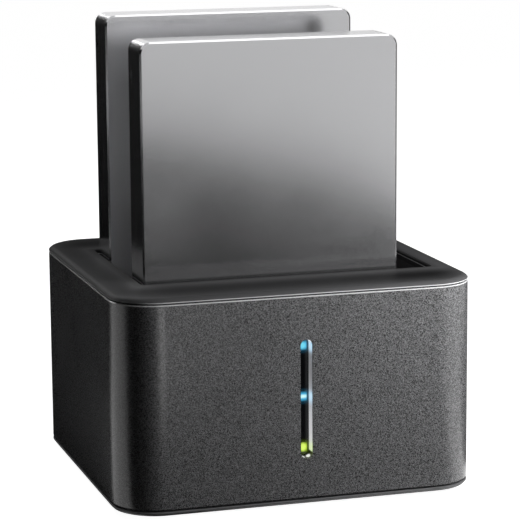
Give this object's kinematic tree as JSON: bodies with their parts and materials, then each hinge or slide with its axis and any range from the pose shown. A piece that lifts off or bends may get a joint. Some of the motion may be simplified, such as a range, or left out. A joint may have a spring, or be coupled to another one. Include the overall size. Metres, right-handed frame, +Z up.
{
  "type": "hard drive docking station",
  "caption": "Upright docking station with an open bay for small drives, a vertical status light bar on the front and ports at the back, shown with drives docked",
  "frame": {"origin": "middle of the footprint, on the surface that the feet stand on", "axes": "+Z up, the front with the light bar faces -Y, +X to the right seen from the front"},
  "size_m": [0.0972, 0.0944, 0.1238],
  "materials": {
    "shell_plastic": "dark grey with a fine spark texture",
    "bezel_plastic": "satin black",
    "bay_plastic": "black",
    "base_plastic": "dark grey",
    "foot_rubber": "dull",
    "screw_steel": "plated",
    "board_laminate": "green solder mask",
    "chip_package": "moulded",
    "can_metal": "drawn can",
    "coil_ferrite": "pressed ferrite",
    "passive_ceramic": "ceramic",
    "connector_plastic": "black moulding",
    "contact_metal": "gold plated",
    "port_metal": "nickel plated",
    "key_plastic": "satin black",
    "plunger_plastic": "natural",
    "liner_bright": "bright moulding",
    "window_smoke": "smoked",
    "lens_blue": "lit",
    "lens_green": "lit",
    "lamp_resin": "clear resin",
    "drive_case_metal": "fine satin",
    "drive_cover_metal": "satin"
  },
  "bodies": {
    "dock": {"outer_shell": "shell_plastic", "top_bezel": "bezel_plastic", "bay_well": "bay_plastic", "base_cover": "base_plastic", "rubber_feet": "foot_rubber", "base_screws": "screw_steel", "main_board": "board_laminate", "board_screws": "screw_steel", "bridge_chip": "chip_package", "flash_chip": "chip_package", "crystal": "can_metal", "board_capacitors": "can_metal", "board_coils": "coil_ferrite", "board_regulators": "chip_package", "board_passives": "passive_ceramic", "front_socket": "connector_plastic", "front_socket_contacts": "contact_metal", "rear_socket": "connector_plastic", "rear_socket_contacts": "contact_metal", "power_jack": "connector_plastic", "power_jack_pin": "port_metal", "usb_port_shell": "port_metal", "usb_port_tongue": "connector_plastic", "power_switch_housing": "connector_plastic", "power_switch_terminals": "contact_metal", "clone_switch": "connector_plastic", "light_liner": "liner_bright", "light_window": "window_smoke", "blue_lenses": "lens_blue", "green_lens": "lens_green", "light_board": "board_laminate", "light_lamps": "lamp_resin", "light_screws": "screw_steel", "light_header": "connector_plastic", "light_header_pins": "contact_metal"},
    "front_drive": {"front_drive_case": "drive_case_metal", "front_drive_cover": "drive_cover_metal", "front_drive_screws": "screw_steel", "front_drive_card": "board_laminate", "front_drive_chips": "chip_package", "front_drive_plug": "connector_plastic", "front_drive_contacts": "contact_metal"},
    "rear_drive": {"rear_drive_case": "drive_case_metal", "rear_drive_cover": "drive_cover_metal", "rear_drive_screws": "screw_steel", "rear_drive_card": "board_laminate", "rear_drive_chips": "chip_package", "rear_drive_plug": "connector_plastic", "rear_drive_contacts": "contact_metal"},
    "rocker": {"power_rocker": "key_plastic"},
    "clone_key": {"clone_button": "key_plastic", "clone_plunger": "plunger_plastic"}
  },
  "joints": [
    {"name": "front_drive_lift", "type": "slide", "parent": "dock", "child": "front_drive", "axis": [0, 0, 1], "range_m": [0, 0.045]},
    {"name": "rear_drive_lift", "type": "slide", "parent": "dock", "child": "rear_drive", "axis": [0, 0, 1], "range_m": [0, 0.045]},
    {"name": "power_rocker_tilt", "type": "hinge", "parent": "dock", "child": "rocker", "pos_m": [-0.0211, 0.04352, 0.0113], "axis": [0, 0, 1], "range_deg": [0, 22]},
    {"name": "clone_press", "type": "slide", "parent": "dock", "child": "clone_key", "axis": [0, -1, 0], "range_m": [0, 0.0008], "stiffness_N_per_m": 400}
  ]
}
